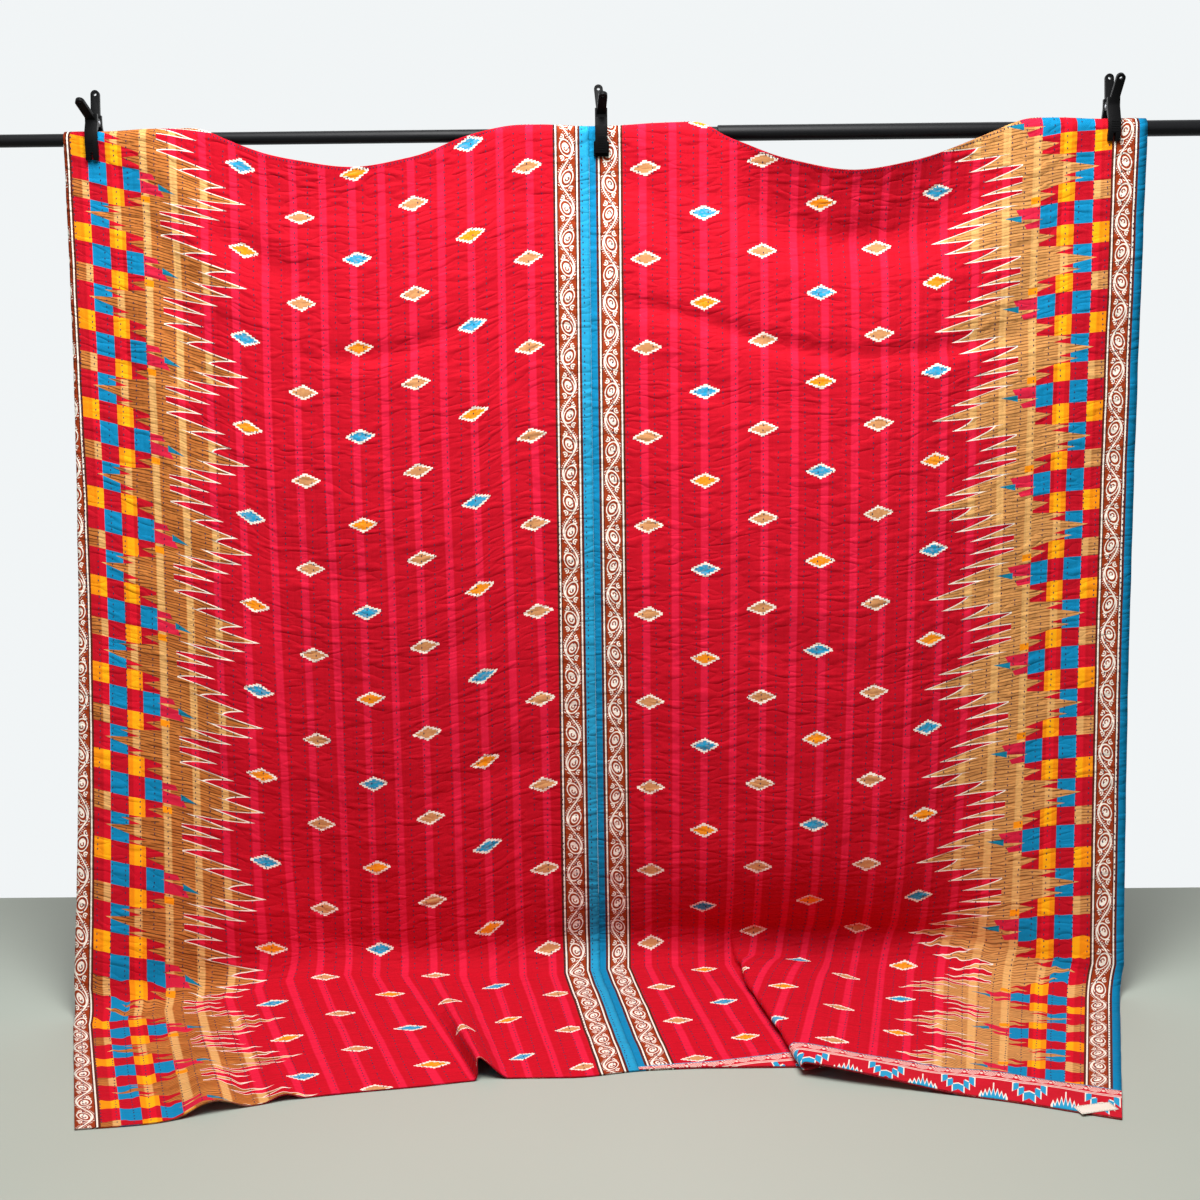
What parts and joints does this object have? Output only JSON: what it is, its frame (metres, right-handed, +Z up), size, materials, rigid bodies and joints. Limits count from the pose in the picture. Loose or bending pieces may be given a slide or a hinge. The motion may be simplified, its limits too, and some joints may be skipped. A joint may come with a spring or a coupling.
{
  "type": "kantha quilt clipped over a rod",
  "caption": "Stitched patchwork-pattern kantha quilt of joined panels, hung over a telescoping rod by spring clamps, its lower end swept forward on the floor in folds.",
  "frame": {"origin": "middle of the whole part's box in X and Y, on the floor that the quilt's lower end lies on", "axes": "+X along the rod to the right as seen from the front, +Z up; the quilt's face looks along -Y and its lower end sweeps out that way"},
  "size_m": [2.66, 0.8468, 1.8546],
  "materials": {
    "quilt_left": "matte cotton, hand quilted",
    "quilt_right": "matte cotton, hand quilted",
    "back_cloth": "matte printed cotton",
    "label_tape": "smooth woven tape",
    "black_tube": "satin black",
    "clamp_plastic": "satin moulded",
    "clamp_steel": "plain",
    "clamp_pad": "soft matte"
  },
  "bodies": {
    "root": {"left_panel": "quilt_left", "right_panel": "quilt_right", "binding": "back_cloth", "label": "label_tape", "rod_left": "black_tube", "rod_right": "black_tube", "clamp_left_front_lever": "clamp_plastic", "clamp_left_back_lever": "clamp_plastic", "clamp_left_pin": "clamp_steel", "clamp_left_spring": "clamp_steel", "clamp_middle_front_lever": "clamp_plastic", "clamp_middle_back_lever": "clamp_plastic", "clamp_middle_pin": "clamp_steel", "clamp_middle_spring": "clamp_steel", "clamp_middle_front_pad": "clamp_pad", "clamp_middle_back_pad": "clamp_pad", "clamp_right_front_lever": "clamp_plastic", "clamp_right_back_lever": "clamp_plastic", "clamp_right_pin": "clamp_steel", "clamp_right_spring": "clamp_steel"}
  },
  "joints": []
}
